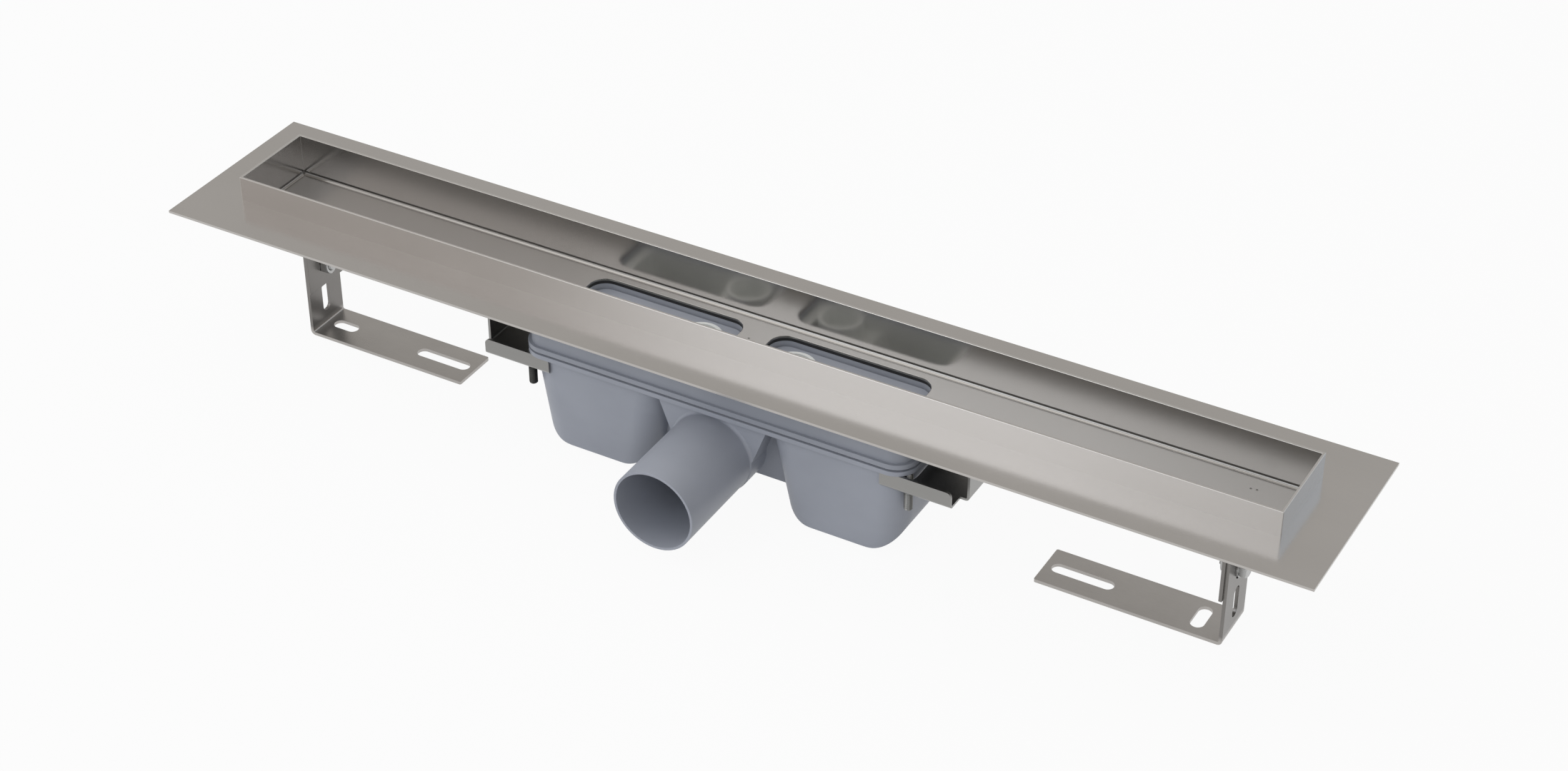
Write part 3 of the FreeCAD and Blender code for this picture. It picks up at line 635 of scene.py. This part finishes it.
def gate_outline(angle):
    """The pad's edge is eased, and the stub is cut off on a slant."""
    trimmed = GATE_STUB_HEIGHT * (1 - GATE_SLANT + GATE_SLANT * math.cos(angle))
    return (
        (0, -GATE_DEPTH), (GATE_PAD_RADIUS, -GATE_DEPTH), (GATE_PAD_RADIUS, GATE_PAD_HEIGHT * 0.6),
        (GATE_PAD_RADIUS - GATE_PAD_EASE, GATE_PAD_HEIGHT),
        (GATE_STUB_RADIUS + GATE_STUB_FILLET, GATE_PAD_HEIGHT),
        (GATE_STUB_RADIUS, GATE_PAD_HEIGHT + GATE_PAD_EASE),
        (GATE_STUB_RADIUS, trimmed), (0, GATE_STUB_HEIGHT * (1 - GATE_SLANT)),
    )


cup_underside = Vector(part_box("trap_body")[0]).z
gates = bmesh.new()
for sign in (-1, 1):
    gate_place = (sign * CUP_MIDDLE, 0, cup_underside)
    go_round(gates, gate_place, (0, 0, -1), (1, 0, 0), GATE_COLUMNS, gate_outline)
finished_piece("cup_gate_marks", gates, trap_plastic)


# Each bracket is cut and folded from stainless sheet. It grips the trap's rim from below with two
# raised lips. The sheet is darker than the channel's and brushed along its length.
BRACKET_DARK = (0.2, 0.196, 0.188, 1)
BRACKET_LIGHT = (0.25, 0.246, 0.234, 1)
BRACKET_STREAKS = (80, 2200, 2200)
BRACKET_HAZE = 0.7
FOLDED_EDGE_EASE = 0.0002
bracket_steel = worked_steel(
    "folded_bracket_steel", BRACKET_DARK, BRACKET_LIGHT, BRACKET_STREAKS, roughness=(0.26, 0.36),
    relief=0.000003, haze=BRACKET_HAZE
)
for side in ("left", "right"):
    dress(side + "_trap_bracket", bracket_steel, FOLDED_EDGE_EASE)


# Two welded studs, washers and hexagon nuts carry each bracket under the channel. They are bright
# stainless steel. The M6 threads are rolled, and the nuts are chamfered on both faces.
M6_PITCH = 0.001
THREAD_DEPTH_SHARE = 0.61
THREAD_CREST = 1.2
THREAD_STEPS = 8
THREAD_COLUMNS = 28
THREAD_PLAY = 0.00005
HEX_COLUMNS = 48
CHAMFER_SHARE = 0.955
CHAMFER_SLOPE = math.tan(math.radians(30))
BORE_EASE = 0.0004
WASHER_EASE = 0.00015
FASTENER_DARK = (0.36, 0.36, 0.355, 1)
FASTENER_LIGHT = (0.48, 0.48, 0.475, 1)
FASTENER_GRAINS = (900, 900, 900)
FASTENER_RELIEF = 0.000006
fastener_steel = worked_steel(
    "bright_fastener_steel", FASTENER_DARK, FASTENER_LIGHT, FASTENER_GRAINS, roughness=(0.22, 0.34),
    relief=FASTENER_RELIEF
)


def threaded_heights(radius, pitch, length, angle):
    """Radius and height up a threaded rod, with a lead at both ends."""
    depth = THREAD_DEPTH_SHARE * pitch
    count = round(length / pitch * THREAD_STEPS)
    points = []
    for step in range(count + 1):
        height = length * step / count
        turn = (height / pitch - angle / math.tau) % 1.0
        crest = min(1, THREAD_CREST * (1 - abs(2 * turn - 1)))
        lead = radius - depth + min(height, length - height)
        points.append((min(radius - depth * (1 - crest), lead), height))
    return points


def hexagon_radius(across_flats, angle):
    """Distance from the middle to a hexagon's side, with a corner at angle 0."""
    return across_flats / 2 / math.cos(angle % (math.pi / 3) - math.pi / 6)


def chamfered_hexagon(across_flats, angle):
    """Radius of the side and of the flat face, and how far below the face the chamfer ends."""
    side_radius = hexagon_radius(across_flats, angle)
    face_radius = across_flats / 2 * CHAMFER_SHARE
    return side_radius, face_radius, (side_radius - face_radius) * CHAMFER_SLOPE


def nut_outline(across_flats, height, bore):
    """Outline of a nut that is chamfered on both faces and eased at its bore."""
    def outline_at(angle):
        side_radius, face_radius, drop = chamfered_hexagon(across_flats, angle)
        return (
            (bore + BORE_EASE, 0), (face_radius, 0), (side_radius, drop), (side_radius, height - drop),
            (face_radius, height), (bore + BORE_EASE, height), (bore, height - BORE_EASE),
            (bore, BORE_EASE), (bore + BORE_EASE, 0),
        )
    return outline_at


def stud_outline(radius, pitch, length):
    """Outline of a stud that is threaded from end to end."""
    def outline_at(angle):
        return [(0, 0)] + threaded_heights(radius, pitch, length, angle) + [(0, length)]
    return outline_at


def pair_centres(low, high, half_width):
    """Places of the front and the back one of two like fasteners, at a node's top."""
    x = (low.x + high.x) / 2
    return Vector((x, low.y + half_width, high.z)), Vector((x, high.y - half_width, high.z))


for side in ("left", "right"):
    low, high = (Vector(corner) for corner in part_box(side + "_bracket_studs"))
    stud_radius = (high.x - low.x) / 2
    studs = bmesh.new()
    for centre in pair_centres(low, high, stud_radius):
        outline = stud_outline(stud_radius, M6_PITCH, high.z - low.z)
        go_round(studs, centre, (0, 0, -1), (1, 0, 0), THREAD_COLUMNS, outline)
    finished_piece(
        side + "_threaded_studs", studs, fastener_steel,
        replaced=side + "_bracket_studs", smooth_under=50
    )

    low, high = (Vector(corner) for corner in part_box(side + "_bracket_nuts"))
    across_flats = (high.x - low.x) * math.cos(math.radians(30))
    nuts = bmesh.new()
    for centre in pair_centres(low, high, across_flats / 2):
        outline = nut_outline(across_flats, high.z - low.z, stud_radius + THREAD_PLAY)
        go_round(nuts, centre, (0, 0, -1), (1, 0, 0), HEX_COLUMNS, outline)
    finished_piece(
        side + "_chamfered_nuts", nuts, fastener_steel,
        replaced=side + "_bracket_nuts", smooth_under=25
    )
    dress(side + "_bracket_washers", fastener_steel, WASHER_EASE)


# Two M5 socket set screws on each bracket press the trap's rim up against the gasket. They are
# turned from below by a hexagon key. All four are one steel; the left-hand pair is painted dark, as
# shade, and the right-hand pair pale, as light.
M5_PITCH = 0.0008
SCREW_COLUMNS = 24
KEY_ACROSS_FLATS = 0.0025
KEY_DEPTH = 0.0035
KEY_EASE = 0.0002
SHADED_SCREW_DARK = (0.05, 0.05, 0.048, 1)
SHADED_SCREW_LIGHT = (0.1, 0.1, 0.095, 1)
LIT_SCREW_DARK = (0.24, 0.24, 0.235, 1)
LIT_SCREW_LIGHT = (0.34, 0.34, 0.33, 1)
shaded_screw_steel = worked_steel(
    "screw_steel_painted_shade", SHADED_SCREW_DARK, SHADED_SCREW_LIGHT, FASTENER_GRAINS, roughness=(0.25, 0.38),
    relief=FASTENER_RELIEF
)
lit_screw_steel = worked_steel(
    "screw_steel_painted_light", LIT_SCREW_DARK, LIT_SCREW_LIGHT, FASTENER_GRAINS, roughness=(0.3, 0.42),
    relief=FASTENER_RELIEF
)


def set_screw_outline(radius, length):
    """Outline of a set screw with a hexagon socket in its lower end."""
    def outline_at(angle):
        key_radius = hexagon_radius(KEY_ACROSS_FLATS, angle)
        points = [(0, 0)] + threaded_heights(radius, M5_PITCH, length, angle)
        points += [(key_radius + KEY_EASE, length), (key_radius, length - KEY_EASE)]
        return points + [(key_radius, length - KEY_DEPTH), (0, length - KEY_DEPTH - KEY_EASE)]
    return outline_at


# The left-hand pair gets the painted shade, the right-hand pair the painted light.
for side, screw_steel in (("left", shaded_screw_steel), ("right", lit_screw_steel)):
    low, high = (Vector(corner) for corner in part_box(side + "_press_screws"))
    radius = (high.x - low.x) / 2
    screws = bmesh.new()
    for centre in pair_centres(low, high, radius):
        outline = set_screw_outline(radius, high.z - low.z)
        go_round(screws, centre, (0, 0, -1), (1, 0, 0), SCREW_COLUMNS, outline)
    finished_piece(
        side + "_set_screws", screws, screw_steel,
        replaced=side + "_press_screws", smooth_under=50
    )


# The feet and the tabs that carry them are cut and folded from 2 mm stainless sheet, with a plain
# mill surface. The legs are painted darker upwards, as shade under the channel. Short beads weld each
# tab to the channel's underside.
FOOT_DARK = (0.38, 0.362, 0.345, 1)
FOOT_LIGHT = (0.45, 0.43, 0.41, 1)
FOOT_STREAKS = (260, 1700, 1700)
FOOT_CLOUDS = (30, 45, 45)
LEG_PAINTED_SHADE = (0.5, 0.5, 0.5, 1)
LEG_SHADE_START = 0.0025
LEG_SHADE_FULL = 0.006
TAB_RUN_LENGTH = 0.009
TAB_RUN_PLACES = (-0.0105, 0.0105)
# The legs' steel is painted darker above the foot, as painted shade.
foot_steel = worked_steel(
    "folded_foot_steel", FOOT_DARK, FOOT_LIGHT, FOOT_STREAKS, roughness=(0.26, 0.36), relief=0.000004,
    clouds_per_metre=FOOT_CLOUDS, painted_shade=(LEG_PAINTED_SHADE, LEG_SHADE_START, LEG_SHADE_FULL)
)
for side, sign in (("left", -1), ("right", 1)):
    dress(side + "_leg_tab", foot_steel, FOLDED_EDGE_EASE)
    dress(side + "_foot", foot_steel, FOLDED_EDGE_EASE)
    low, high = (Vector(corner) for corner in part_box(side + "_leg_tab"))
    tab_end = low.x if sign > 0 else high.x
    tab_runs = bmesh.new()
    for y in TAB_RUN_PLACES:
        weld_run(tab_runs, (tab_end, y, high.z), (0, 1, 0), (-sign, 0, 0), (0, 0, -1), TAB_RUN_LENGTH)
    finished_piece(side + "_tab_weld_runs", tab_runs, weld_steel)


# One M6 hexagon bolt, washer and nut hold each foot to its tab at the height that the floor needs.
# The bolt's head is outside. It has a chamfered top with a slight dish, and a washer face.
HEAD_FACE_DROP = 0.00025
HEAD_DISH = 0.00015
HEAD_NECK_SHARE = 0.96


def bolt_outline(across_flats, shank_length, head_height):
    """Outline of a hexagon bolt, from the end of its shank to the top of its head."""
    top = shank_length + head_height

    def outline_at(angle):
        side_radius, face_radius, drop = chamfered_hexagon(across_flats, angle)
        shank = threaded_heights(stud_radius, M6_PITCH, shank_length, angle)
        return [(0, 0)] + shank[:-(THREAD_STEPS // 2)] + [
            (stud_radius * HEAD_NECK_SHARE, shank_length), (face_radius, shank_length),
            (face_radius, shank_length + HEAD_FACE_DROP), (side_radius, shank_length + HEAD_FACE_DROP),
            (side_radius, top - drop), (face_radius, top),
            (face_radius * 0.6, top - HEAD_DISH * 2 / 3), (0, top - HEAD_DISH),
        ]
    return outline_at


for side, sign in (("left", -1), ("right", 1)):
    low, high = (Vector(corner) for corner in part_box(side + "_leg_bolt"))
    washer_low, washer_high = (Vector(corner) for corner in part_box(side + "_leg_washer"))
    head_height = high.x - washer_high.x if sign > 0 else washer_low.x - low.x
    head_base = washer_high.x if sign > 0 else washer_low.x
    across_flats = high.y - low.y
    shank_length = high.x - low.x - head_height
    middle_z = (low.z + high.z) / 2
    shank_end = (head_base - sign * shank_length, 0, middle_z)
    bolt = bmesh.new()
    outline = bolt_outline(across_flats, shank_length, head_height)
    go_round(bolt, shank_end, (sign, 0, 0), (0, 0, 1), HEX_COLUMNS, outline)
    finished_piece(
        side + "_hexagon_bolt", bolt, fastener_steel,
        replaced=side + "_leg_bolt", smooth_under=35
    )

    low, high = (Vector(corner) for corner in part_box(side + "_leg_nut"))
    nut = bmesh.new()
    outline = nut_outline(across_flats, high.x - low.x, stud_radius + THREAD_PLAY)
    go_round(nut, (low.x, 0, middle_z), (1, 0, 0), (0, 0, 1), HEX_COLUMNS, outline)
    finished_piece(
        side + "_chamfered_leg_nut", nut, fastener_steel,
        replaced=side + "_leg_nut", smooth_under=25
    )
    dress(side + "_leg_washer", fastener_steel, WASHER_EASE)
